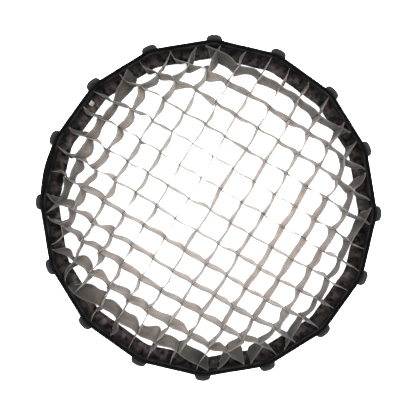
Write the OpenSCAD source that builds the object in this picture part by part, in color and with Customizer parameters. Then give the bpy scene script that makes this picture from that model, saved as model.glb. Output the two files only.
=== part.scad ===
// Sixteen-sided fabric rim with a removable fabric egg-crate grid.
// The part lies face up: +Z points out of the front, z = 0 is the rear edge.

/* [Grid] */
// Distance from one strip to the next
cell = 50; // [46:1:54]
// Thickness of the strip fabric
strip_t = 0.8; // [0.5:0.1:1.2]
// Height of the strips' rear edge above the part's rear face
strip_rear_z = 2.5; // [2:0.5:6]
// Height of the strips' front edge above the part's rear face
strip_front_z = 50; // [46:1:50]
// Side clearance of a strip in the slots where it crosses others
slot_gap = 0.3; // [0.2:0.05:0.5]

/* [Rim] */
// Size across two opposite flats, outside the front welt
rim_flats = 676; // [620:1:700]
// How much closer to the axis the walls stand at the rear than at the front
taper = 14; // [0:0.5:16]
// Turn of the first corner from the +X axis
corner_turn = 6.5; // [0:0.5:22]
// Thickness of the rim's double fabric wall
panel_t = 2.4; // [2:0.1:3]
// Height of the front edge of the fabric wall
panel_front_z = 49.5; // [49:0.1:50]
// Gap between two neighbouring panels at a corner seam
seam_gap = 0.4; // [0.2:0.1:0.8]
// Radius of the corded welt along the front edge
welt_r = 2.5; // [2:0.1:3]
// Height of the hem along the rear edge
hem_h = 10; // [8:0.5:12]

/* [Tapes and bindings] */
// Thickness of the loop tape and of the hook tape
tape_t = 1.4; // [1:0.1:1.6]
// Gap that the pressed hooks and loops fill
tape_gap = 0.5; // [0.4:0.1:0.8]
// Thickness of the grid's edge band
band_t = 1.6; // [1.2:0.1:2]
// Thickness of the folded bindings and of the hem
fold_t = 1; // [0.6:0.1:1]
// Height of the folded bindings on the grid's edge band
fold_h = 7; // [6:0.5:8]

/* [Rib pockets] */
// Width of a rib pocket along the rim
pocket_w = 32; // [26:0.2:33]
// Radius of the pocket's domed outer face
pocket_r = 19; // [17:0.5:26]
// How far the pocket's dome stands out from the panel's corner
pocket_proud = 13; // [9.8:0.1:14]
// Slope of the pocket's closed front end, seen along the pocket
pocket_slope = 4; // [0:1:12]
// Distance along the pocket to its open rear mouth
pocket_rear_z = 9; // [9:0.5:14]
// Distance along the pocket to its closed front end
pocket_front_z = 51.5; // [51:0.5:53]
// Radius of the hard cap on the rib's tip
cap_r = 4; // [4:0.1:4.2]
// Radius of the blind socket in the cap
socket_r = 2.1; // [1.8:0.1:2.5]
// Depth of the blind socket
socket_depth = 24; // [20:1:26]

/* [Label] */
// Size of the blank sewn label along the band
label_w = 10; // [8:1:14]
// Size of the blank sewn label along Z
label_h = 16; // [12:1:20]

/* [Hidden] */
$fn = 48;
sides = 16;
step = 360 / sides;
// Distances from the centre to the middle of a side, outermost first
welt_mid = rim_flats / 2 - welt_r;
loop_in = rim_flats / 2 - 2 * welt_r;
panel_in = loop_in + tape_t;
panel_out = panel_in + panel_t;
hook_out = loop_in - tape_gap;
band_out = hook_out - tape_t;
band_in = band_out - band_t;
fold_in = band_in - fold_t;
// Front plane, where the walls' distances from the axis are measured, and their lean
front_z = 50;
side_lean = atan(taper / front_z);
corner_lean = atan(corner_r(taper) / front_z);
// Height of the welt's middle, which leaves it flat on the panels' front edge
welt_z = panel_front_z + welt_r / 2;
// Heights of the grid's edge band and its bindings
band_rear_z = 2;
band_front_z = front_z;
rear_fold_z = band_rear_z - fold_t / 2;
front_fold_z = band_front_z + fold_t;
// Strips on each side of the middle one, and in all
half_strips = floor((band_in - cell / 2) / cell);
strips = 2 * half_strips + 1;
strip_mid_z = (strip_rear_z + strip_front_z) / 2;
// Play between layers that are sewn to each other
lay = 0.02;
// Rib pockets and caps
cap_fit = 0.15;
cavity_fit = 0.4;
cap_rear_z = 14;
cap_body_h = 30;
cap_centre = corner_r(panel_out) + cap_r + cap_fit;
pocket_tip = corner_r(panel_out) + pocket_proud;
// Label: the side it is sewn to, its offset along it and its height
label_side = 7;
label_offset = -32;
label_z = 24;
label_t = 0.6;
reach = rim_flats;

function two_digits(n) = str(n < 10 ? "0" : "", n);
function series(name, count) = [for (i = [1:count]) str(name, two_digits(i))];
function corner_r(mid) = mid / cos(step / 2);
function side_angle(i) = corner_turn + step * (i + 0.5);
function wall(mid, z) = mid + taper * (z - front_z) / front_z;

// Leans a piece with the walls, about a level line in the front plane
module leaned(x, angle) {
    translate([x, 0, front_z]) rotate([0, angle, 0]) translate([-x, 0, -front_z]) children();
}

// Sixteen-sided outline whose sides lie at distance mid from the centre
module outline(mid) {
    r = corner_r(mid);
    polygon([for (i = [0:sides - 1]) r * [cos(corner_turn + i * step), sin(corner_turn + i * step)]]);
}

module prism(mid, rear, front) {
    translate([0, 0, rear]) linear_extrude(front - rear, scale = wall(mid, front) / wall(mid, rear))
        outline(wall(mid, rear));
}

module ring(outer, inner, rear, front) {
    difference() {
        prism(outer, rear, front);
        prism(inner, rear - 1, front + 1);
    }
}

// Fabric folded over one edge of a ring: open towards the ring's middle
module folded_edge(outer, inner, edge, lip, inside) {
    difference() {
        ring(outer + fold_t, inner - fold_t, min(edge, lip), max(edge, lip));
        ring(outer + lay, inner - lay, min(inside, lip) - (inside > lip ? 1 : 0), max(inside, lip) + (inside < lip ? 1 : 0));
    }
}

module rim_panels() {
    near = wall(panel_in, panel_front_z);
    far = wall(panel_out, panel_front_z);
    half_near = near * tan(step / 2) - seam_gap / 2;
    half_far = far * tan(step / 2) - seam_gap / 2;
    shrink = wall(panel_out, fold_t + lay) / far;
    color("dimgray") for (i = [0:sides - 1])
        rotate(side_angle(i)) translate([0, 0, panel_front_z]) mirror([0, 0, 1])
            linear_extrude(panel_front_z - fold_t - lay, scale = shrink)
            polygon([[near, -half_near], [far, -half_far], [far, half_far], [near, half_near]]);
}

// Round cord that follows the sixteen corners, flat where it sits on the panels
module front_welt() {
    section = [for (a = [-30:24:210]) [welt_mid + welt_r * cos(a), welt_z + welt_r * sin(a)]];
    n = len(section);
    color("black") polyhedron(
        points = [for (i = [0:sides - 1], p = section)
            [corner_r(p[0]) * cos(corner_turn + i * step), corner_r(p[0]) * sin(corner_turn + i * step), p[1]]],
        faces = [for (i = [0:sides - 1], j = [0:n - 1])
            let (k = (i + 1) % sides, m = (j + 1) % n) [i * n + j, i * n + m, k * n + m, k * n + j]]
    );
}

module rear_hem() {
    color("black") folded_edge(panel_out, panel_in, 0, hem_h, fold_t);
}

module loop_tape() {
    color("dimgray") ring(panel_in - lay, loop_in, hem_h + 1, panel_front_z - 3);
}

// Upright round space with a round front end, at the rib tip's place
module pocket_cavity(rear, r) {
    top = cap_rear_z + cap_body_h;
    translate([cap_centre, 0, rear]) cylinder(r = r, h = top - rear);
    translate([cap_centre, 0, top]) sphere(r = r);
}

// The pocket's body, domed outwards, with a front end that slopes to its tip
module pocket_body() {
    height = pocket_front_z - pocket_rear_z;
    difference() {
        translate([pocket_tip - pocket_r, 0, pocket_rear_z]) linear_extrude(height) intersection() {
            circle(r = pocket_r);
            translate([-pocket_r, -pocket_w / 2]) square([2 * pocket_r, pocket_w]);
        }
        translate([corner_r(panel_out), 0, pocket_front_z]) rotate([0, pocket_slope, 0])
            translate([0, -pocket_w, 0]) cube([pocket_w, 2 * pocket_w, pocket_w]);
    }
}

module rib_pocket(i) {
    color("darkslategray") difference() {
        rotate(corner_turn + i * step) leaned(corner_r(panel_out), corner_lean) pocket_body();
        prism(panel_out + lay, 0, panel_front_z);
        prism(welt_mid + welt_r + 0.1, panel_front_z - 1.5, panel_front_z + cell);
        rotate(corner_turn + i * step) leaned(corner_r(panel_out), corner_lean)
            pocket_cavity(pocket_rear_z - 2, cap_r + cavity_fit);
    }
}

module rib_tip_caps() {
    color("silver") for (i = [0:sides - 1])
        rotate(corner_turn + i * step) leaned(corner_r(panel_out), corner_lean) difference() {
        pocket_cavity(cap_rear_z, cap_r);
        translate([cap_centre, 0, cap_rear_z - 1]) cylinder(r = socket_r, h = socket_depth + 1);
    }
}

module grid_band() {
    color("black") ring(band_out, band_in, band_rear_z, band_front_z);
}

module hook_tape() {
    color("dimgray") ring(hook_out, band_out + lay, rear_fold_z + fold_h + 1, front_fold_z - fold_h - 1);
}

module front_binding() {
    color("black") folded_edge(band_out, band_in, front_fold_z, front_fold_z - fold_h, band_front_z);
}

module rear_binding() {
    color("black") folded_edge(band_out, band_in, rear_fold_z, rear_fold_z + fold_h, band_rear_z);
}

// The room inside the edge band, narrower where the bindings are folded in
module band_room() {
    prism(fold_in, 0, front_z + cell);
    prism(band_in, rear_fold_z + fold_h, front_fold_z - fold_h);
}

// One strip along X, at its place in Y, with a slot for each strip that it crosses
module strip(place, slot_rear, slot_front) {
    slot_w = strip_t + 2 * slot_gap;
    intersection() {
        difference() {
            translate([-reach, place * cell - strip_t / 2, strip_rear_z])
                cube([2 * reach, strip_t, strip_front_z - strip_rear_z]);
            for (k = [-half_strips:half_strips])
                translate([k * cell - slot_w / 2, place * cell - strip_t, slot_rear])
                    cube([slot_w, 2 * strip_t, slot_front - slot_rear]);
        }
        children();
    }
}

// Strips along X are slotted from the rear edge up to the middle
module strip_x(i) {
    color("gray") strip(i - 1 - half_strips, 0, strip_mid_z) band_room();
}

// Strips along Y are slotted from the front edge down to the middle
module strip_y(i) {
    color("gray") rotate(90) strip(half_strips + 1 - i, strip_mid_z, reach) rotate(-90) band_room();
}

module blank_label() {
    color("white") rotate(side_angle(label_side)) leaned(band_in, side_lean)
        translate([band_in - label_t - lay, label_offset - label_w / 2, label_z]) cube([label_t, label_w, label_h]);
}

rim_panels();
front_welt();
rear_hem();
loop_tape();
for (i = [1:sides]) rib_pocket(i);
rib_tip_caps();
grid_band();
hook_tape();
front_binding();
rear_binding();
for (i = [1:strips]) strip_x(i);
for (i = [1:strips]) strip_y(i);
blank_label();
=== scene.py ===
import bpy
import math
import random
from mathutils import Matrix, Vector, noise


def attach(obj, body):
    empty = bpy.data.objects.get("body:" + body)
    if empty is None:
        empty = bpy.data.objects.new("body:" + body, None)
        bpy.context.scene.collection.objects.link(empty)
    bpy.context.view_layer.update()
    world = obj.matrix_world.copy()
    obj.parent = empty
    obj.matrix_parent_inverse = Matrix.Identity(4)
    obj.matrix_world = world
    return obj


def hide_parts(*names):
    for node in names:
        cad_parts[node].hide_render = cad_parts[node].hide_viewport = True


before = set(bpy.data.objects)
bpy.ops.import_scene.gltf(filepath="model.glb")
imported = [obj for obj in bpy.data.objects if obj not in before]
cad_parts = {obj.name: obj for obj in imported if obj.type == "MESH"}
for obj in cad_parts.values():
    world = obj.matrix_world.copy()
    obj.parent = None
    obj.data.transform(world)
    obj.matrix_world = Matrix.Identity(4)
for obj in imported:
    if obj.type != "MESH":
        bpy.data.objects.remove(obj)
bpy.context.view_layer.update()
rng = random.Random(31)

# ---------------------------------------------------------------- sizes, mm
# A wall's size is the distance from the axis to the middle of its sides, at the height FRONT_Z.
MM = 0.001
CELL = 50
HALF = 6                          # strips on each side of the middle one
SIDES = 16
STEP = 360 / SIDES                # degrees from one corner to the next
TURN = 6.5                        # degrees from +X to the first corner
HALF_TAN = math.tan(math.radians(STEP / 2))
FRONT_Z = 50
TAPER = 14                        # how much closer to the axis a wall is at z = 0 than at FRONT_Z
CORNER_SOFT = 1.2                 # what a rounded corner loses
ROUNDED = 0.1                     # the part of each half side that is rounded
WELT_R, WELT_MID, WELT_Z, WELT_SOFT = 2.5, 335.5, 50.75, 2.0
PANEL_OUT, PANEL_IN = 336.8, 334.4
LOOP_IN, HOOK_OUT = 333.0, 332.5
BAND_OUT, BAND_IN = 331.1, 329.5
HEM_H, BIND_H, FOLD_T = 10, 7, 1
PANEL_REAR, PANEL_FRONT = FOLD_T, 49.5
LOOP_REAR, LOOP_FRONT = HEM_H + 1, 46.5
HOOK_REAR, HOOK_FRONT = 9.5, 43
BAND_REAR, BAND_FRONT = 2, 50
BIND_REAR_Z, BIND_FRONT_Z = 1.5, 51
STRIP_REAR, STRIP_FRONT, STRIP_T = 2.5, 50, 1.05
STRIP_H = STRIP_FRONT - STRIP_REAR
STRIP_MID = (STRIP_REAR + STRIP_FRONT) / 2

# ---------------------------------------------------------------- the view
CAMERA_D = 1000                   # the camera's distance from the front edge, mm
CAMERA_ROLL = 31                  # degrees that the camera is turned against the strips
FIELD_W = 849                     # width of the picture at the front edge, mm
SENSOR_W = 36
SHIFT_X, SHIFT_Y = -0.001202, -0.000481
RIGHT = Vector((math.cos(math.radians(CAMERA_ROLL)), math.sin(math.radians(CAMERA_ROLL)), 0))
UP = Vector((-RIGHT.y, RIGHT.x, 0))


# ---------------------------------------------------------------- the outline
def wall(mid, z):
    """A leaning wall's distance from the axis at the height z."""
    return mid + TAPER * (z - FRONT_Z) / FRONT_Z


def outline_r(mid, deg, soft):
    """Distance of the sixteen-sided outline from the axis, its corners a little rounded."""
    off = ((deg - TURN) % STEP) - STEP / 2
    edge = abs(off) / (STEP / 2)
    rounded = soft * max(0.0, edge - (1 - ROUNDED)) / ROUNDED * edge
    return mid / math.cos(math.radians(off)) - rounded


def around(mid, deg, z, soft=CORNER_SOFT):
    """A point of a wall, at an angle and a height."""
    r = outline_r(wall(mid, z), deg, soft)
    a = math.radians(deg)
    return Vector((r * math.cos(a), r * math.sin(a), z))


def side_angle(side):
    """Where the middle of a side is, in radians."""
    return math.radians(TURN + STEP * (side + 0.5))


def side_axes(side):
    """The outward direction of a side, and the direction along it."""
    a = side_angle(side)
    return Vector((math.cos(a), math.sin(a), 0)), Vector((-math.sin(a), math.cos(a), 0))


def side_normal(deg):
    """The outward direction of the side that is at an angle."""
    return side_axes(math.floor((deg - TURN) / STEP))[0]


BOWED_SIDE, BOW = 8, 6.5          # the side of the rim that bows outwards, and how far, mm
BOW_REAR, BOW_FRONT = 12, 48      # it starts to bow at the first height, and bows fully at the second


def rim_bow(deg, z):
    """How far the bowed side stands out at an angle and a height."""
    f = (deg - TURN) / STEP - BOWED_SIDE
    if not 0 < f < 1:
        return 0.0
    up = min(1.0, max(0.0, (z - BOW_REAR) / (BOW_FRONT - BOW_REAR)))
    return BOW * math.sin(math.pi * f) ** 1.3 * up * up * (3 - 2 * up)


def wave(p, size, seed=0.0):
    """Smooth noise from -1 to 1; size is its grain in mm."""
    return noise.noise(Vector(p) / size + Vector((seed * 7.3, seed * 3.1, seed * 5.7)))


# ---------------------------------------------------------------- meshes
def make_mesh(name, verts, faces, uvs=None, smooth=True):
    """An object from points in mm; uvs holds one (u, v) per point, or one list of them per face."""
    mesh = bpy.data.meshes.new(name)
    mesh.from_pydata([tuple(c * MM for c in v) for v in verts], [], faces)
    if uvs:
        layer = mesh.uv_layers.new(name="UVMap")
        loop = 0
        for f, face in enumerate(faces):
            for c, v in enumerate(face):
                uv = uvs[f][c] if isinstance(uvs[f], list) else uvs[v]
                layer.data[loop].uv = (uv[0] * MM, uv[1] * MM)
                loop += 1
    mesh.validate()
    mesh.update()
    for polygon in mesh.polygons:
        polygon.use_smooth = smooth
    obj = bpy.data.objects.new(name, mesh)
    bpy.context.scene.collection.objects.link(obj)
    return obj


def sheet_faces(base, rows, cols):
    """The faces of a sheet whose points start at base and run along its rows."""
    faces = []
    for row in range(rows):
        for col in range(cols):
            o = base + row * (cols + 1) + col
            faces.append((o, o + 1, o + cols + 2, o + cols + 1))
    return faces


def rod_faces(base, rings, sides):
    """The faces of a closed rod whose rings of points start at base."""
    faces = []
    for ring in range(rings - 1):
        o = base + ring * sides
        for k in range(sides):
            m = (k + 1) % sides
            faces.append((o + k, o + m, o + sides + m, o + sides + k))
    faces.append(tuple(base + k for k in reversed(range(sides))))
    faces.append(tuple(base + (rings - 1) * sides + k for k in range(sides)))
    return faces


def put(obj, material, body, slot, *nodes):
    """Gives a piece its material and its body, and hides the CAD nodes that it stands for; slot is not used.
    """
    obj.data.materials.clear()
    obj.data.materials.append(material)
    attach(obj, body)
    if nodes:
        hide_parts(*nodes)


def thicken(obj, thickness, offset=0, weld=0.0):
    """Gives a sheet its thickness in mm, after joining points closer than weld."""
    if weld:
        joined = obj.modifiers.new("weld", "WELD")
        joined.merge_threshold = weld * MM
    solid = obj.modifiers.new("solid", "SOLIDIFY")
    solid.thickness = thickness * MM
    solid.offset = offset
    solid.use_even_offset = False
    depsgraph = bpy.context.evaluated_depsgraph_get()
    mesh = bpy.data.meshes.new_from_object(obj.evaluated_get(depsgraph))
    obj.modifiers.clear()
    obj.data = mesh
    return obj


def sweep(name, section, samples):
    """A closed ring: section(deg) gives the section's points, as vectors, at that angle."""
    rings = [section(360 * i / samples) for i in range(samples)]
    n = len(rings[0])
    verts = [p for ring in rings for p in ring]
    ring_run = [0.0]
    for i in range(samples):
        ring_run.append(ring_run[-1] + (rings[(i + 1) % samples][0] - rings[i][0]).length)
    section_run = [0.0]
    for j in range(n):
        section_run.append(section_run[-1] + (rings[0][(j + 1) % n] - rings[0][j]).length)
    faces, uvs = [], []
    for i in range(samples):
        for j in range(n):
            k, m = (i + 1) % samples, (j + 1) % n
            faces.append((i * n + j, k * n + j, k * n + m, i * n + m))
            u0, u1, v0, v1 = ring_run[i], ring_run[i + 1], section_run[j], section_run[j + 1]
            uvs.append([(u0, v0), (u1, v0), (u1, v1), (u0, v1)])
    return make_mesh(name, verts, faces, uvs)


STITCH_ENDS = ((0, 0.45), (0.15, 1), (0.85, 1), (1, 0.45))   # (part of the length, part of the radius)


def stitches(name, runs, radius, sides=6):
    """Thread stitches: one short rod with rounded ends for each (start, end)."""
    verts, faces, uvs = [], [], []
    for start, end in runs:
        along = (end - start).normalized()
        cross = along.orthogonal().normalized()
        other = along.cross(cross)
        length = (end - start).length
        faces += rod_faces(len(verts), len(STITCH_ENDS), sides)
        for t, r in STITCH_ENDS:
            for k in range(sides):
                a = 2 * math.pi * k / sides
                spoke = (cross * math.cos(a) + other * math.sin(a)) * radius * r
                verts.append(start + along * length * t + spoke)
                uvs.append((length * t, radius * 6 * k / sides))
    return make_mesh(name, verts, faces, uvs)


STITCH_PITCH, STITCH_L = 5.0, 3.4


def stitch_ring(mid, z, ring_length=2090.0):
    """Stitches in a ring on a wall; ring_length is about how long the ring is, mm."""
    count = int(ring_length / STITCH_PITCH)
    turn = 360 * STITCH_L / ring_length
    starts = [360 * i / count for i in range(count)]
    return [(around(mid, a, z), around(mid, a + turn, z)) for a in starts]


# ---------------------------------------------------------------- materials
class Graph:
    """The nodes of one material, made and joined with short calls."""

    def __init__(self, name):
        self.material = bpy.data.materials.new(name)
        self.material.use_nodes = True
        self.nodes = self.material.node_tree.nodes
        self.links = self.material.node_tree.links
        self.nodes.clear()
        self.coords = self.new("ShaderNodeTexCoord")
        self.place = self.coords.outputs["Object"]

    def new(self, kind, **values):
        """A node; a value goes to its input of that name, or else to the node itself."""
        node = self.nodes.new(kind)
        for key, value in values.items():
            if key in node.inputs:
                node.inputs[key].default_value = value
            else:
                setattr(node, key, value)
        return node

    def join(self, source, target):
        self.links.new(source, target)

    def calc(self, operation, first, second=None):
        """A sum on sockets or plain numbers."""
        node = self.new("ShaderNodeMath", operation=operation)
        for socket, value in zip(node.inputs, (first, second)):
            if isinstance(value, (int, float)):
                socket.default_value = value
            elif value is not None:
                self.join(value, socket)
        return node.outputs[0]

    def mottle(self, size, detail, stretch=None):
        """Noise with a grain of size mm, its coordinates scaled by stretch."""
        node = self.new("ShaderNodeTexNoise", Scale=1 / (size * MM), Detail=detail, Roughness=0.6)
        source = self.place
        if stretch:
            mapping = self.new("ShaderNodeMapping", Scale=stretch)
            self.join(source, mapping.inputs["Vector"])
            source = mapping.outputs[0]
        self.join(source, node.inputs["Vector"])
        return node.outputs["Fac"]

    def fade(self, value, span):
        """A factor: span holds where its fade starts and ends, in metres, and the factor at both."""
        node = self.new("ShaderNodeMapRange", interpolation_type="SMOOTHSTEP")
        self.join(value, node.inputs["Value"])
        for socket, number in zip(("From Min", "From Max", "To Min", "To Max"), span):
            node.inputs[socket].default_value = number
        return node.outputs[0]

    def weave(self, thread):
        """The height of the threads of a plain weave, 0 to 1; thread is their pitch in mm."""
        uv = self.new("ShaderNodeSeparateXYZ")
        self.join(self.coords.outputs["UV"], uv.inputs[0])
        turns = math.pi / (thread * MM)
        warp = self.calc("SINE", self.calc("MULTIPLY", uv.outputs[0], turns))
        weft = self.calc("SINE", self.calc("MULTIPLY", uv.outputs[1], turns))
        over = self.calc("GREATER_THAN", self.calc("MULTIPLY", warp, weft), 0.0)
        under = self.calc("SUBTRACT", 1.0, over)
        return self.calc("ADD", self.calc("MULTIPLY", over, self.calc("ABSOLUTE", warp)),
                         self.calc("MULTIPLY", under, self.calc("ABSOLUTE", weft)))

    def colours(self, dark, light, edge, mottle, fine):
        """The mottled colour: edge holds the two values of the noise where dark ends and light starts."""
        ramp = self.new("ShaderNodeValToRGB")
        for stop, position, colour in zip(ramp.color_ramp.elements, edge, (dark, light)):
            stop.position = position
            stop.color = (*colour, 1)
        mixed = self.calc("ADD", self.calc("MULTIPLY", mottle, 0.8), self.calc("MULTIPLY", fine, 0.2))
        self.join(mixed, ramp.inputs[0])
        return ramp.outputs["Color"]

    def from_axis(self):
        """Distance from the object's axis, in metres."""
        flat = self.new("ShaderNodeVectorMath", operation="MULTIPLY")
        self.join(self.place, flat.inputs[0])
        flat.inputs[1].default_value = (1, 1, 0)
        length = self.new("ShaderNodeVectorMath", operation="LENGTH")
        self.join(flat.outputs[0], length.inputs[0])
        return length.outputs["Value"]

    def height(self):
        """Height above the rear edge, in metres."""
        split = self.new("ShaderNodeSeparateXYZ")
        self.join(self.place, split.inputs[0])
        return split.outputs["Z"]

    def dusted(self, colour, amount):
        """The colour with small pale specks."""
        dots = self.new("ShaderNodeTexVoronoi", Scale=1 / (1.5 * MM))
        self.join(self.place, dots.inputs["Vector"])
        spot = self.calc("MULTIPLY", self.calc("LESS_THAN", dots.outputs["Distance"], 0.28), amount)
        lit = self.new("ShaderNodeMix", data_type="RGBA", blend_type="ADD")
        self.join(spot, lit.inputs["Factor"])
        self.join(colour, lit.inputs["A"])
        lit.inputs["B"].default_value = (1, 1, 1, 1)
        return lit.outputs["Result"]

    def creases(self):
        """Ridges about 14 mm apart, as in cloth that has been folded."""
        folds = self.new("ShaderNodeTexNoise", Scale=1 / (14 * MM), Detail=2.5, Roughness=0.5)
        folds.noise_type = "RIDGED_MULTIFRACTAL"
        self.join(self.place, folds.inputs["Vector"])
        return folds.outputs["Fac"]

    def through(self, surface, colour, normal, share):
        """The surface with a share of light that shines through it."""
        glow = self.new("ShaderNodeBsdfTranslucent")
        self.join(colour, glow.inputs["Color"])
        self.join(normal, glow.inputs["Normal"])
        blend = self.new("ShaderNodeMixShader")
        blend.inputs["Fac"].default_value = share
        self.join(surface, blend.inputs[1])
        self.join(glow.outputs[0], blend.inputs[2])
        return blend.outputs[0]


FRONT_EDGE = (0.0488, 0.0498, 0, 1)   # the fade that picks out the strips' front edges for their painted shade and painted highlight


def cloth(name, dark, light, thread, sheen, grain, rough=0.85, weave=0.35, bump=0.25, fuzz=0.15,
          crease=0.0, speck=0.0, sheen_rough=0.45, spec=0.3, translucent=0.0, edge=(0.32, 0.68), streak=None,
          out_painted_shading=(), up_painted_shading=(), painted_front_edges=None, painted_light_tilt=None):
    """Woven cloth: thread is its pitch in mm, dark and light the ends of its mottling, grain the mottles'
    size in mm. The other settings paint light and shade into the colour: fades with the distance from the
    axis and with the height, the front edges scaled again by their distance from the axis (painted shade
    below one, painted highlight above one), and a tilt towards which it gets lighter, as painted light from
    one side."""
    graph = Graph(name)
    rise = graph.weave(thread)
    mottle = graph.mottle(grain, 4.0, stretch=streak)
    fine = graph.mottle(1.1, 2.0)
    shade = graph.calc("ADD", 1.0 - weave * 0.5, graph.calc("MULTIPLY", rise, weave))
    out, up = graph.from_axis(), graph.height()
    # Painted light and shade: the colour scaled with the distance from the axis, then with the height.
    for span in out_painted_shading:
        shade = graph.calc("MULTIPLY", shade, graph.fade(out, span))
    for span in up_painted_shading:
        shade = graph.calc("MULTIPLY", shade, graph.fade(up, span))
    # Painted shade and painted highlight on the front edges, set by their distance from the axis.
    if painted_front_edges:
        inner, outer = (graph.fade(out, span) for span in painted_front_edges)
        line = graph.calc("SUBTRACT", graph.calc("MULTIPLY", inner, outer), 1.0)
        line = graph.calc("MULTIPLY", graph.fade(up, FRONT_EDGE), line)
        shade = graph.calc("MULTIPLY", shade, graph.calc("ADD", line, 1.0))
    # Painted light from one side: lighter in the tilt's direction, darker opposite.
    if painted_light_tilt:
        side = graph.new("ShaderNodeVectorMath", operation="DOT_PRODUCT")
        graph.join(graph.place, side.inputs[0])
        side.inputs[1].default_value = painted_light_tilt
        shade = graph.calc("MULTIPLY", shade, graph.calc("ADD", side.outputs["Value"], 1.0))
    shaded = graph.new("ShaderNodeMix", data_type="RGBA", blend_type="MULTIPLY")
    shaded.inputs["Factor"].default_value = 1.0
    graph.join(graph.colours(dark, light, edge, mottle, fine), shaded.inputs["A"])
    graph.join(shade, shaded.inputs["B"])
    colour = shaded.outputs["Result"]
    if speck:
        colour = graph.dusted(colour, speck)

    height = graph.calc("ADD", graph.calc("MULTIPLY", rise, 0.5), graph.calc("MULTIPLY", fine, fuzz * 4))
    if crease:
        height = graph.calc("ADD", height, graph.calc("MULTIPLY", graph.creases(), crease))
    bumped = graph.new("ShaderNodeBump", Strength=bump, Distance=0.4 * MM)
    graph.join(height, bumped.inputs["Height"])

    shader = graph.new("ShaderNodeBsdfPrincipled")
    shader.inputs["Sheen Weight"].default_value = sheen
    shader.inputs["Sheen Roughness"].default_value = sheen_rough
    shader.inputs["Specular IOR Level"].default_value = spec
    roughness = graph.calc("ADD", rough - 0.06, graph.calc("MULTIPLY", mottle, 0.12))
    graph.join(colour, shader.inputs["Base Color"])
    graph.join(roughness, shader.inputs["Roughness"])
    graph.join(bumped.outputs[0], shader.inputs["Normal"])
    surface = shader.outputs[0]
    if translucent:
        surface = graph.through(surface, colour, bumped.outputs[0], translucent)
    output = graph.new("ShaderNodeOutputMaterial")
    graph.join(surface, output.inputs["Surface"])
    return graph.material


# The strips' colour holds painted light and shade: lighter towards the middle and much darker close to the
# band, lighter at the rear edge than at the front, painted shade on the front edges except close to the
# band, where they get a painted highlight, and lighter towards +X +Y.
STRIP_CLOTH = cloth("strip_cloth", (0.102, 0.0900, 0.0805), (0.198, 0.175, 0.157), thread=1.6, sheen=0.3,
                    grain=24, weave=0.7, translucent=0.2, sheen_rough=0.25, spec=0.1,
                    out_painted_shading=((0.14, 0.40, 1.75, 0.62), (0.268, 0.316, 1.05, 0.25)),
                    up_painted_shading=((0.012, 0.048, 1.18, 0.74),),
                    painted_front_edges=((0.05, 0.17, 0.4, 0.2), (0.26, 0.31, 1, 8)), painted_light_tilt=(0.25, 0.42, 0))
# The band's colour holds painted shade: lighter at its rear edge and much darker towards its front edge.
BAND_CLOTH = cloth("band_cloth", (0.002044, 0.00146, 0.00146), (0.06716, 0.05329, 0.0511), thread=1.0,
                   sheen=0.003, grain=13, crease=2.2, bump=0.8, rough=0.7, spec=0.03, edge=(0.42, 0.63),
                   streak=(1, 1, 0.4), up_painted_shading=((0.010, 0.042, 1.4, 0.22),))
RIM_CLOTH = cloth("rim_cloth", (0.001752, 0.001752, 0.001898), (0.00511, 0.00511, 0.005402), thread=0.8,
                  sheen=0.004, grain=26, crease=0.8, bump=0.35, rough=0.6, spec=0.03)
BINDING = cloth("binding", (0.00044, 0.00044, 0.00048), (0.0073, 0.006862, 0.007154), thread=0.7,
                sheen=0.0, grain=20, rough=0.55, bump=0.4, spec=0.006)
WELT_CLOTH = cloth("welt_cloth", (0.00044, 0.00044, 0.00051), (0.002044, 0.002044, 0.00219), thread=0.9,
                   sheen=0.0, grain=24, rough=0.35, spec=0.012, bump=0.3)
PILE = cloth("pile", (0.001168, 0.001168, 0.001168), (0.00438, 0.004088, 0.004088), thread=0.6,
             sheen=0.01, grain=5, fuzz=0.6, bump=0.9, spec=0.02)
POCKET = cloth("pocket_web", (0.00058, 0.00058, 0.00073), (0.004672, 0.004672, 0.005402), thread=1.4,
               sheen=0.006, grain=7, rough=0.5, bump=0.9, speck=0.016, spec=0.05)
THREAD = cloth("thread", (0.00292, 0.00292, 0.003212), (0.0073, 0.0073, 0.007738), thread=0.5,
               sheen=0.006, grain=4, spec=0.03)
GREY_THREAD = cloth("grey_thread", (0.00292, 0.002774, 0.002628), (0.00584, 0.005402, 0.00511), thread=0.5,
                    sheen=0.01, grain=4, spec=0.04)
LABEL = cloth("label_tape", (0.1533, 0.1489, 0.1445), (0.1971, 0.1913, 0.1869), thread=0.5,
              sheen=0.02, grain=3, weave=0.2, spec=0.1)
CAP = cloth("cap_plastic", (0.00876, 0.00876, 0.00876), (0.0146, 0.0146, 0.0146), thread=3.0,
            sheen=0.0, grain=8, weave=0.0, bump=0.05, rough=0.45, spec=0.15)

# ---------------------------------------------------------------- the crossings, mm
# A depth is 0 at the strips' front edge and 1 at their rear edge.
# The numbers in sag() follow the crossings of the photo and are in its pixels, which SAG_UNIT turns
# into mm: it is the size of one pixel at the lattice.
SAG_UNIT = 2.09
SAG_SPREAD, TAIL_SPREAD = 0.55, 1.1
REAR_SHIFT = RIGHT * -2.1 + UP * 4.4
DRAW_IN = 0.986                   # slack draws the crossings in by this factor
FREE_R, PULL_R = 284, 20          # those further out than the first are pulled in, at most by the second
EDGE_LEAN = {("x", -1): 10, ("x", 1): 5, ("y", -1): 8, ("y", 1): 0.5}
BAND_REACH = 326.0                # the rear shift ends at this distance from the axis
REACH = range(-HALF - 1, HALF + 2)

jitter = {(i, j): (rng.gauss(0, 1), rng.gauss(0, 1)) for i in REACH for j in REACH}
tail = {key: Vector((rng.gauss(0, TAIL_SPREAD), rng.gauss(0, TAIL_SPREAD), 0)) for key in jitter}


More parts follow.
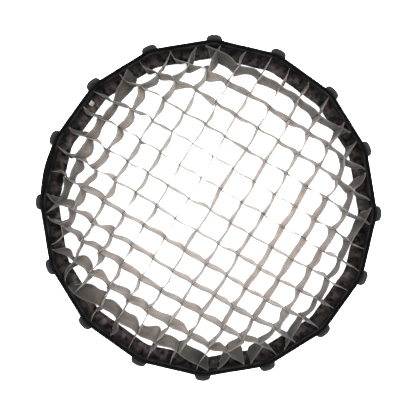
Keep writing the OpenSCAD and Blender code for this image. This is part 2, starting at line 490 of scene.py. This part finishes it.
def sag(i, j):
    """How far the crossing (i, j) is from its even place: a smooth formula fitted to the photo, and a
    little chance."""
    a, b = i / HALF, j / HALF
    right = (0.15 + 0.95 * b + 0.55 * b * b - 3.0 * b ** 3 + 1.4 * a + 1.25 * a * b - 3.2 * a * b * b
             - 0.6 * a * a - 1.8 * a * a * b - 2.1 * a ** 3)
    up = (-1.6 + 1.0 * b - 1.7 * b * b + 1.4 * b ** 3 - 2.0 * a + 0.2 * a * b + 1.55 * a * a
          - 4.4 * a * a * b + 3.0 * a ** 3)
    low = max(0.0, -b)
    x = 0.65 - 1.7 * b * b - 1.3 * low ** 2
    y = 5.4 * (low ** 2 - low ** 14) - 1.8 * max(0.0, -a) ** 2 - 1.5 * max(0.0, a) * max(0.0, b)
    chance = jitter[(i, j)]
    right += SAG_SPREAD * chance[0]
    up += SAG_SPREAD * chance[1]
    return (RIGHT * right + UP * up + Vector((x, y, 0))) * SAG_UNIT


def slack_at(p):
    """How slack the strips hang at p, from 0: more towards the rim, and most at the upper left."""
    if p.length < 1:
        return 0.0
    outer = max(0.0, (p.length - 165) / 140)
    facing = max(0.0, p.normalized().dot(-RIGHT * 0.87 + UP * 0.5))
    low = max(0.0, p.normalized().dot(-UP * 0.97 - RIGHT * 0.25))
    return outer ** 1.3 * (0.25 + 0.85 * facing ** 0.7 + 0.35 * low)


def lean(k, along):
    """How far the rear edge of strip k leans towards the axis: only the outermost ones lean much."""
    return -math.copysign(EDGE_LEAN[(along, 1 if k > 0 else -1)] * (abs(k) / HALF) ** 9, k)


def node_at(i, j, depth):
    """The crossing (i, j) at a depth, in the plane."""
    p = Vector((i * CELL, j * CELL, 0)) * DRAW_IN + sag(i, j)
    if p.length > FREE_R:
        p *= (FREE_R + PULL_R * (1 - math.exp(-(p.length - FREE_R) / PULL_R))) / p.length
    inward = max(0.0, 1 - (p.length / BAND_REACH) ** 3)
    leaning = Vector((lean(i, "y"), lean(j, "x"), 0))
    return p + REAR_SHIFT * inward * (depth - 0.5) + tail[(i, j)] * depth + leaning * depth


def strip_node(k, along, n, depth):
    """Crossing n of strip k."""
    return node_at(n, k, depth) if along == "x" else node_at(k, n, depth)


def strip_point(along, run, drift):
    """The point of the plane at run along a strip's direction and drift across it."""
    return Vector((run, drift, 0)) if along == "x" else Vector((drift, run, 0))


def drift_of(along, p):
    return p.y if along == "x" else p.x


# ---------------------------------------------------------------- the strips
BAND_GAP = 0.6                    # a strip ends this far inside the band's inner face
END_ROOM = 7                      # a crossing closer to the band than this isn't made
SPAN_COLS, STRIP_ROWS = 14, 12
SLOT_HALF = 0.7                   # half the width of a half-lap slot
SLOT_MIDDLE = 1.5                 # the slots end this far from the strip's mid height
FLAP_REACH = 13                   # a loose slot edge curls over this length
BULGE = {"x": (0.2, 1.0), "y": (1.6, 3.4)}       # how far a span bows at its front and its rear edge
SWAY = {"x": 1.1, "y": 0}         # how far the X strips snake from side to side in each span
BOW_SKEW, BOW_NORM = 1.4, 0.43    # a bow is fuller towards a span's far end, and this keeps its size


def end_on_band(place, along, sign, z):
    """Where a strip at that distance from the middle meets the edge band's inner face."""
    mid = wall(BAND_IN, z) - BAND_GAP
    reach = math.inf
    for side in range(SIDES):
        a = side_angle(side)
        toward, across = (math.cos(a), math.sin(a)) if along == "x" else (math.sin(a), math.cos(a))
        if toward * sign > 1e-6:
            reach = min(reach, (mid - place * across) / (toward * sign))
    return reach * sign


def strip_stations(k, along):
    """The numbers of the crossings of strip k."""
    ends = {sign: abs(end_on_band(k * CELL, along, sign, FRONT_Z)) for sign in (-1, 1)}
    return [n for n in range(-HALF, HALF + 1) if abs(n) * CELL < ends[1 if n >= 0 else -1] - END_ROOM]


def strip_mesh(k, along):
    """Strip k of one family: a slack ribbon from band to band, slotted halfway at each crossing."""
    stations = strip_stations(k, along)
    slot_low, slot_high = (STRIP_REAR, STRIP_MID) if along == "x" else (STRIP_MID, STRIP_FRONT)
    side = strip_point(along, 0, 1)
    local = random.Random(1000 + k * 17 + (500 if along == "y" else 0))
    last = {-1: stations[0], 1: stations[-1]}

    def crossing(n, depth):
        return strip_node(k, along, n, depth)

    slants = {sign: local.gauss(0, 5) * (0.3 + slack_at(crossing(last[sign], 0.5))) for sign in (-1, 1)}
    flap = {}
    for n in stations:
        for half_side in (-1, 1):
            flap[(n, half_side)] = local.gauss(0, 1) * (0.6 + 8 * slack_at(crossing(n, 0.5)))

    def band_end(sign, depth, z):
        drift = drift_of(along, crossing(last[sign], depth)) + slants[sign] * (depth - 0.5)
        return strip_point(along, end_on_band(drift, along, sign, z), drift)

    verts, faces, uvs = [], [], []
    spans = [("start", stations[0])] + list(zip(stations[:-1], stations[1:])) + [(stations[-1], "end")]
    run = cloth_len = 0.0
    for a, b in spans:
        base = len(verts)
        inner = b if a == "start" else a
        outer = slack_at(crossing(inner, 0.5))
        at_end = a == "start" or b == "end"
        slack = 1 + 0.35 * local.gauss(0, 1)
        curl = local.gauss(0, 1) * (0.9 + 2.8 * outer)
        cup = outer * (local.uniform(0, 4) if at_end else local.uniform(3, 9))
        twist = local.uniform(-1.4, 1.4) * (1.5 + 5.5 * outer if at_end else 1.5 * outer)
        out = crossing(inner, 0).length / 300
        swing = local.gauss(0, 1) * (1.5 + 1.3 * out * out)
        span_len = None
        for row in range(STRIP_ROWS + 1):
            z = STRIP_REAR + STRIP_H * row / STRIP_ROWS
            depth = 1 - row / STRIP_ROWS
            p0 = band_end(-1, depth, z) if a == "start" else crossing(a, depth)
            p1 = band_end(1, depth, z) if b == "end" else crossing(b, depth)
            gap = p1 - p0
            length = gap.length
            if span_len is None:
                span_len = length
            in_half = slot_low - 0.01 <= z <= slot_high + 0.01
            slotted = in_half and abs(z - STRIP_MID) > SLOT_MIDDLE
            low = SLOT_HALF / length if slotted and a != "start" else 0
            high = 1 - SLOT_HALF / length if slotted and b != "end" else 1
            full = min(1, length / CELL)
            bulge = BULGE[along][0] + (BULGE[along][1] - BULGE[along][0]) * depth ** 1.3
            amp = (bulge * slack + cup * (0.55 + 0.45 * depth)) * full ** 1.5
            open_edge = abs(z - STRIP_MID) / (STRIP_MID - STRIP_REAR) if slotted else 0
            lift = 0.4 if row in (0, STRIP_ROWS) else 0.2
            for col in range(SPAN_COLS + 1):
                s = low + (high - low) * col / SPAN_COLS
                arch = math.sin(math.pi * s)
                bow = amp * s * (1 - s) * (1 + BOW_SKEW * s) / BOW_NORM
                bow += (curl * depth * 0.8 - SWAY[along]) * math.sin(2 * math.pi * s)
                bow += (twist * (1 - 2 * depth) + swing * depth) * arch
                near = 0.0
                if a != "start":
                    near += flap[(a, 1)] * math.exp(-(s * length / FLAP_REACH) ** 2)
                if b != "end":
                    near += flap[(b, -1)] * math.exp(-((1 - s) * length / FLAP_REACH) ** 2)
                bow += near * open_edge ** 1.6
                q = p0 + gap * s + side * bow
                q += side * (0.35 * wave((q.x, q.y, z), 22, 1.0) + 0.15 * wave((q.x, q.y, z), 7, 2.0))
                dz = (0.9 * depth - 0.5) * arch * full - abs(near) * open_edge * 0.1
                verts.append((q.x, q.y, min(z + dz * lift, STRIP_FRONT + 0.4)))
                uvs.append((run + s * span_len, z))
        faces += sheet_faces(base, STRIP_ROWS, SPAN_COLS)
        middle = base + STRIP_ROWS // 2 * (SPAN_COLS + 1)
        cloth_len += sum((Vector(verts[o + 1]) - Vector(verts[o])).length
                         for o in range(middle, middle + SPAN_COLS))
        run += span_len
    number = "%s_%02d" % (along, k + HALF + 1)
    strip = thicken(make_mesh("strip_cloth_" + number, verts, faces, uvs), STRIP_T, weld=0.2)
    put(strip, STRIP_CLOTH, "grid", "strip_fabric", "strip_" + number)


# ---------------------------------------------------------------- the edge band and its tapes
def ribbon_ring(name, outer, inner, z0, z1, rows, ripple, seed, edge_wave=0.0, grain=(26, 9), pleat=0.0,
                bowed=False, slump=0.0):
    """A soft band of the rim's shape between two walls, with creases that keep its thickness."""
    def push_at(p, deg, z, t):
        push = ripple * (wave(p, grain[0], seed) + 0.45 * wave(p, grain[1], seed + 3))
        foot = (p.x, p.y, 0)
        push += pleat * (wave(foot, 13, seed + 1) + 0.6 * wave(foot, 5, seed + 2))
        push *= 0.35 + 0.65 * math.sin(math.pi * t)
        return push + ((rim_bow(deg, z) if bowed else 0) - slump * (1 - t) ** 2)

    def section(deg):
        points = []
        for mid, steps in ((inner, range(rows + 1)), (outer, range(rows, -1, -1))):
            for step in steps:
                t = step / rows
                z = z0 + (z1 - z0) * t
                p = around(mid, deg, z)
                rise = edge_wave * wave((p.x, p.y, seed), 33, seed + 5) * (1 - t)
                points.append(p + side_normal(deg) * push_at(p, deg, z, t) + Vector((0, 0, rise)))
        return points
    return sweep(name, section, SIDES * 30)


band = ribbon_ring("band_cloth", BAND_OUT, BAND_IN, BAND_REAR, BAND_FRONT, 14, 1.5, 1, edge_wave=1.3,
                   pleat=1.2, slump=1.8)
put(band, BAND_CLOTH, "grid", "band_fabric", "grid_band")
hook = ribbon_ring("hook_pile_tape", HOOK_OUT, BAND_OUT, HOOK_REAR, HOOK_FRONT, 6, 0.15, 2)
put(hook, PILE, "grid", "hook_pile", "hook_tape")
loop = ribbon_ring("loop_pile_tape", PANEL_IN, LOOP_IN, LOOP_REAR, LOOP_FRONT, 6, 0.1, 3, bowed=True)
put(loop, PILE, "rim", "loop_pile", "loop_tape")

PUCKER, PUCKER_GRAIN = 0.35, 9
ROUND_OUT, ROUND_IN = 0.55, 0.45  # how far the fold's outside and inside bulge, in half widths
FOLD_STEPS, LINING_STEPS = 6, 4


def binding_ring(name, outer, inner, edge_z, lip_z, seed):
    """Tape folded round an edge: a U section with a round fold and a slightly puckered lip."""
    up = 1 if edge_z > lip_z else -1
    half_w = (outer - inner) / 2 + FOLD_T
    inside = half_w - FOLD_T
    centre = (outer + inner) / 2
    bend_z = edge_z - up * half_w * ROUND_OUT

    def section(deg):
        def at(off, z):
            p = around(centre + off, deg, z)
            swell = PUCKER * wave(p, PUCKER_GRAIN, seed) * min(1.0, abs(z - edge_z) / 4)
            return p + side_normal(deg) * swell * math.copysign(1, off)

        points = [at(half_w, lip_z), at(half_w, (lip_z + bend_z) / 2)]
        for k in range(FOLD_STEPS + 1):
            a = math.pi * k / FOLD_STEPS
            points.append(at(half_w * math.cos(a), bend_z + up * half_w * ROUND_OUT * math.sin(a)))
        points += [at(-half_w, (lip_z + bend_z) / 2), at(-half_w, lip_z)]
        for k in range(LINING_STEPS + 1):
            a = math.pi * (1 - k / LINING_STEPS)
            lining_z = bend_z + up * inside * ROUND_IN * math.sin(a) if 0 < k < LINING_STEPS else lip_z
            points.append(at(inside * math.cos(a), lining_z))
        return points if up > 0 else points[::-1]
    return sweep(name, section, SIDES * 24)


front_fold = binding_ring("front_binding_tape", BAND_OUT, BAND_IN, BIND_FRONT_Z, BIND_FRONT_Z - BIND_H, 4)
put(front_fold, BINDING, "grid", "binding_tape", "front_binding")
rear_fold = binding_ring("rear_binding_tape", BAND_OUT, BAND_IN, BIND_REAR_Z, BIND_REAR_Z + BIND_H, 5)
put(rear_fold, BINDING, "grid", "binding_tape", "rear_binding")
hem = binding_ring("rear_hem_tape", PANEL_OUT, PANEL_IN, 0, HEM_H, 6)
put(hem, BINDING, "rim", "binding_tape", "rear_hem")

panels = ribbon_ring("rim_wall", PANEL_OUT, PANEL_IN, PANEL_REAR, PANEL_FRONT, 12, 0.5, 7, grain=(40, 12),
                     pleat=0.25, bowed=True)
put(panels, RIM_CLOTH, "rim", "rim_fabric", "rim_panels")

WELT_POINTS = 12
TWIST_DEPTH, TWIST_TURNS = 0.03, 600


def welt_section(deg):
    """The round section of the covered cord, its twist showing through a little."""
    points = []
    for k in range(WELT_POINTS):
        a = 2 * math.pi * k / WELT_POINTS
        r = WELT_R * (1 + TWIST_DEPTH * math.sin(math.radians(deg) * TWIST_TURNS + a * 2))
        p = around(WELT_MID + r * math.cos(a), deg, WELT_Z + r * math.sin(a), soft=WELT_SOFT)
        points.append(p + side_normal(deg) * (rim_bow(deg, WELT_Z) + 0.4 * wave(p, 45, 8)))
    return points


put(sweep("front_welt_cord", welt_section, SIDES * 40), WELT_CLOTH, "rim", "binding_tape", "front_welt")

# ---------------------------------------------------------------- stitches of the tapes
TAPE_THREAD_R = 0.32
TAPE_FACE = FOLD_T + 0.15         # the thread lies this far off the cloth under a tape
grid_runs = stitch_ring(BAND_IN - TAPE_FACE, 45.2) + stitch_ring(BAND_IN - TAPE_FACE, 7.2, 2010)
put(stitches("binding_stitches", grid_runs, TAPE_THREAD_R), THREAD, "grid", "binding_tape")
rim_runs = stitch_ring(PANEL_OUT + TAPE_FACE, 8.6, 2050) + stitch_ring(PANEL_OUT + 0.3, 45.5)
rim_runs += stitch_ring(PANEL_IN - FOLD_T - 0.1, 8.6, 2030)
put(stitches("rim_stitches", rim_runs, TAPE_THREAD_R), THREAD, "rim", "binding_tape")

# ---------------------------------------------------------------- rib pockets
CORNER = PANEL_OUT / math.cos(math.radians(STEP / 2))
CORNER_LEAN = math.atan(TAPER / math.cos(math.radians(STEP / 2)) / FRONT_Z)
POCKET_W, POCKET_PROUD, POCKET_T = 34, 13.6, 1.2
POCKET_SQUARE = 2.6               # the superellipse's power: 2 is round, and more is squarer
POCKET_REAR, POCKET_FRONT = 9, 51.5
POCKET_COLS, POCKET_ROWS, POCKET_ROLLS = 24, 20, 8
ROLL_H = 3.0                      # height of the rounded top
FLANGE = 0.09                     # the part of each half width that is the flat sewn edge


def on_corner(k, x, y, z):
    """A point of corner k: x out from the corner, y along the rim, z along the leaning pocket."""
    dz = z - FRONT_Z
    r = CORNER + x * math.cos(CORNER_LEAN) + dz * math.sin(CORNER_LEAN)
    h = FRONT_Z - x * math.sin(CORNER_LEAN) + dz * math.cos(CORNER_LEAN)
    a = math.radians(TURN + k * STEP)
    c, s = math.cos(a), math.sin(a)
    return Vector((r * c - y * s, r * s + y * c, h))


def pocket_profile(y):
    """The wall's and the pocket's distance out from the corner, at the distance y along the rim."""
    foot = -POCKET_W / 2 * HALF_TAN
    full = max(0.0, 1 - (abs(y) / (POCKET_W / 2)) ** POCKET_SQUARE) ** (1 / POCKET_SQUARE)
    return 0.2 - abs(y) * HALF_TAN, foot + (POCKET_PROUD - foot) * full


def pocket_mesh(k):
    """The webbing over one corner: a bulge with flat sewn edges, closed at the top."""
    local = 0.37 * k
    fullness = random.Random(70 + k).uniform(-1.2, 1.0)
    verts, uvs = [], []
    for row in range(POCKET_ROWS + POCKET_ROLLS + 1):
        t = min(1.0, row / POCKET_ROWS)
        fold = max(0, row - POCKET_ROWS) / POCKET_ROLLS
        bend = fold * math.pi / 2
        z = POCKET_REAR + (POCKET_FRONT - POCKET_REAR - ROLL_H) * t + ROLL_H * math.sin(bend)
        closing = math.cos(bend) ** 0.8 if fold else 1
        swell = (1 + fullness / POCKET_PROUD) * (1 - 0.04 * math.sin(math.pi * t)) * closing
        for col in range(POCKET_COLS + 1):
            f = 2 * col / POCKET_COLS - 1
            y = POCKET_W / 2 * math.copysign(abs(f) ** 0.9, f)
            base, dome = pocket_profile(y * 0.995)
            flange = min(1.0, (1 - abs(f)) / FLANGE)
            x = base + (dome - base) * (0.25 + 0.75 * flange) * swell
            y *= 1 - 0.05 * fold ** 2
            x += 0.35 * wave((y, z, k * 50), 8, local) + 0.25 * wave((y, z, k * 50), 3.5, local + 2)
            droop = 0.35 * max(0, x - 2) * 0.12
            crumple = 0.3 * wave((y, x, k * 31), 6, local + 4) * fold
            verts.append(on_corner(k, max(x, base + 0.25), y, z - droop + crumple))
            uvs.append((y, z + fold * 8))
    faces = sheet_faces(0, POCKET_ROWS + POCKET_ROLLS, POCKET_COLS)
    cover = thicken(make_mesh("pocket_cover_%02d" % (k + 1), verts, faces, uvs), POCKET_T, offset=-1)
    put(cover, POCKET, "rim", "pocket_webbing", "rib_pocket_%02d" % (k + 1))


POCKET_STITCHES, POCKET_STITCH_L = 9, 2.8


def pocket_stitches(k):
    """The two rows of stitches down the sewn edges of pocket k."""
    runs = []
    base, dome = pocket_profile(POCKET_W / 2 * 0.94)
    x = base + (dome - base) * 0.9 + 0.3
    for y in (-POCKET_W / 2 * 0.93, POCKET_W / 2 * 0.93):
        for n in range(POCKET_STITCHES):
            z = POCKET_REAR + 2 + (POCKET_FRONT - POCKET_REAR - 8) * n / POCKET_STITCHES
            runs.append((on_corner(k, x, y, z), on_corner(k, x, y, z + POCKET_STITCH_L)))
    return runs


pocket_runs = []
for corner in range(SIDES):
    pocket_mesh(corner)
    pocket_runs += pocket_stitches(corner)
put(stitches("pocket_stitches", pocket_runs, 0.35), THREAD, "rim", "pocket_webbing")

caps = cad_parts["rib_tip_caps"]
caps.data.materials.clear()
caps.data.materials.append(CAP)

# ---------------------------------------------------------------- strips and the seams at their crossings
for k in range(-HALF, HALF + 1):
    strip_mesh(k, "x")
    strip_mesh(k, "y")

SEAM_R, SEAM_SIDES, SEAM_RINGS = 1.15, 6, 31
SEAM_WAIST, SEAM_EVERY = 0.72, 3  # each third ring is drawn in by the first


def seam_points(i, j):
    """The whipped thread that joins the two strips at the crossing (i, j), and its uvs."""
    verts, uvs = [], []
    for ring in range(SEAM_RINGS):
        t = ring / (SEAM_RINGS - 1)
        z = STRIP_REAR + 0.3 + (STRIP_H - 0.5) * t
        centre = node_at(i, j, 1 - t)
        r = SEAM_R * (1.0 if ring % SEAM_EVERY else SEAM_WAIST)
        for k in range(SEAM_SIDES):
            a = 2 * math.pi * k / SEAM_SIDES + math.pi / 4
            verts.append((centre.x + r * math.cos(a), centre.y + r * math.sin(a), z))
            uvs.append((k, z))
    return verts, uvs


verts, faces, uvs = [], [], []
for j in range(-HALF, HALF + 1):
    for i in strip_stations(j, "x"):
        if j not in strip_stations(i, "y"):
            continue
        faces += rod_faces(len(verts), SEAM_RINGS, SEAM_SIDES)
        seam_verts, seam_uvs = seam_points(i, j)
        verts += seam_verts
        uvs += seam_uvs
put(make_mesh("crossing_seams", verts, faces, uvs), GREY_THREAD, "grid", "strip_fabric")

# ---------------------------------------------------------------- the tabs that sew the strips to the band
TAB_W, TAB_H, TAB_REAR, TAB_T = 11, 36.5, 8.0, 0.7
TAB_COLS, TAB_ROWS = 5, 10
TAB_MID_Z = 26
TAB_STITCHES, TAB_STITCH_REAR, TAB_STITCH_PITCH, TAB_STITCH_L = 8, 10, 4.2, 2.8
TAB_SEAM, TAB_SEAM_LIFT = 0.8, 2.9


def tab_place(k, along, sign):
    """Where the end of strip k meets the band, in degrees, and the signed width of its tab in degrees."""
    stations = strip_stations(k, along)
    last = strip_node(k, along, stations[0] if sign < 0 else stations[-1], 0.5)
    drift = drift_of(along, last)
    foot = strip_point(along, end_on_band(drift, along, sign, TAB_MID_Z), drift)
    turn = 1 if k * sign * (1 if along == "y" else -1) > 0 else -1
    return math.degrees(math.atan2(foot.y, foot.x)) % 360, turn * math.degrees(TAB_W / foot.length)


verts, faces, uvs, tab_runs = [], [], [], []
tab_ends = [(along, k, sign) for along in ("x", "y") for k in range(-HALF, HALF + 1) for sign in (-1, 1)]
for along, k, sign in tab_ends:
    start, span = tab_place(k, along, sign)
    quads = sheet_faces(len(verts), TAB_ROWS, TAB_COLS)
    faces += quads if span > 0 else [tuple(reversed(quad)) for quad in quads]
    for row in range(TAB_ROWS + 1):
        z = TAB_REAR + TAB_H * row / TAB_ROWS
        for col in range(TAB_COLS + 1):
            f = col / TAB_COLS
            deg = start + span * (f + 0.05 * wave((k, row, sign * 3), 3, 9))
            lift = 2.0 + 0.5 * math.sin(math.pi * f) + 0.5 * wave((deg, z, 0), 11, 10)
            verts.append(around(BAND_IN - lift, deg, z))
            uvs.append((f * TAB_W, z))
    for n in range(TAB_STITCHES):
        z = TAB_STITCH_REAR + TAB_STITCH_PITCH * n
        deg = start + span * TAB_SEAM
        tab_runs.append((around(BAND_IN - TAB_SEAM_LIFT, deg, z),
                         around(BAND_IN - TAB_SEAM_LIFT, deg, z + TAB_STITCH_L)))
tabs = thicken(make_mesh("strip_end_tabs", verts, faces, uvs), TAB_T)
# The tabs share the band's cloth and so its painted shade, darker towards the front.
put(tabs, BAND_CLOTH, "grid", "strip_fabric")
put(stitches("tab_stitches", tab_runs, 0.35, 5), GREY_THREAD, "grid", "strip_fabric")

# ---------------------------------------------------------------- the blank label
LABEL_SIDE, LABEL_OFFSET, LABEL_Z = 7, -34, 24
LABEL_W, LABEL_H, LABEL_T = 10, 16, 0.6
LABEL_COLS, LABEL_ROWS = 6, 8
LABEL_OUT, LABEL_ALONG = side_axes(LABEL_SIDE)


def label_point(u, v):
    """A point of the label, u across and v up it: sewn down at its ends, it stands off in its middle."""
    z = LABEL_Z + LABEL_H * v
    lift = 1.3 + 1.0 * math.sin(math.pi * v) + 0.2 * math.sin(math.pi * u)
    across = LABEL_OFFSET + LABEL_W * (u - 0.5)
    return LABEL_OUT * (wall(BAND_IN, z) - lift) + LABEL_ALONG * across + Vector((0, 0, z))


verts, uvs = [], []
for row in range(LABEL_ROWS + 1):
    for col in range(LABEL_COLS + 1):
        u, v = col / LABEL_COLS, row / LABEL_ROWS
        verts.append(label_point(u, v))
        uvs.append((u * LABEL_W, v * LABEL_H))
label = thicken(make_mesh("label_cloth", verts, sheet_faces(0, LABEL_ROWS, LABEL_COLS), uvs), LABEL_T)
put(label, LABEL, "grid", "label_tape", "blank_label")

# ---------------------------------------------------------------- floor, light and camera
FLOOR_HALF, FLOOR_Z = 6000, -0.5
FLOOR_CORNERS = [(x * FLOOR_HALF, y * FLOOR_HALF, FLOOR_Z) for x, y in ((-1, -1), (1, -1), (1, 1), (-1, 1))]
SKY_STRENGTH, KEY_POWER, KEY_SIZE, KEY_HEIGHT = 4.2, 63, 1.6, 2.2

floor = make_mesh("floor", FLOOR_CORNERS, [(0, 1, 2, 3)], smooth=False)
paper = bpy.data.materials.new("paper")
paper.use_nodes = True
paper_shader = paper.node_tree.nodes["Principled BSDF"]
paper_shader.inputs["Base Color"].default_value = (0.98, 0.98, 0.98, 1)
paper_shader.inputs["Roughness"].default_value = 0.9
paper_shader.inputs["Emission Color"].default_value = (1, 1, 1, 1)
paper_shader.inputs["Emission Strength"].default_value = 0.45
floor.data.materials.append(paper)

scene = bpy.context.scene
scene.world = bpy.data.worlds.new("studio")
scene.world.use_nodes = True
sky = scene.world.node_tree.nodes["Background"]
sky.inputs["Color"].default_value = (1, 1, 1, 1)
sky.inputs["Strength"].default_value = SKY_STRENGTH

key = bpy.data.lights.new("key_light", "AREA")
key.shape = "DISK"
key.size = KEY_SIZE
key.energy = KEY_POWER
key_light = bpy.data.objects.new("key_light", key)
scene.collection.objects.link(key_light)
key_light.location = UP * 0.5 + RIGHT * 0.6 + Vector((0, 0, KEY_HEIGHT))
key_light.rotation_mode = "QUATERNION"
key_light.rotation_quaternion = (-key_light.location).to_track_quat("-Z", "Y")

camera = bpy.data.cameras.new("camera")
camera.lens = SENSOR_W * CAMERA_D / FIELD_W
camera.sensor_width = SENSOR_W
camera.clip_start, camera.clip_end = 0.01, 50
camera.shift_x, camera.shift_y = SHIFT_X, SHIFT_Y
eye = bpy.data.objects.new("camera", camera)
scene.collection.objects.link(eye)
eye.location = (0, 0, (FRONT_Z + CAMERA_D) * MM)
eye.rotation_euler = (0, 0, math.radians(CAMERA_ROLL))
scene.camera = eye
scene.view_settings.view_transform = "Standard"
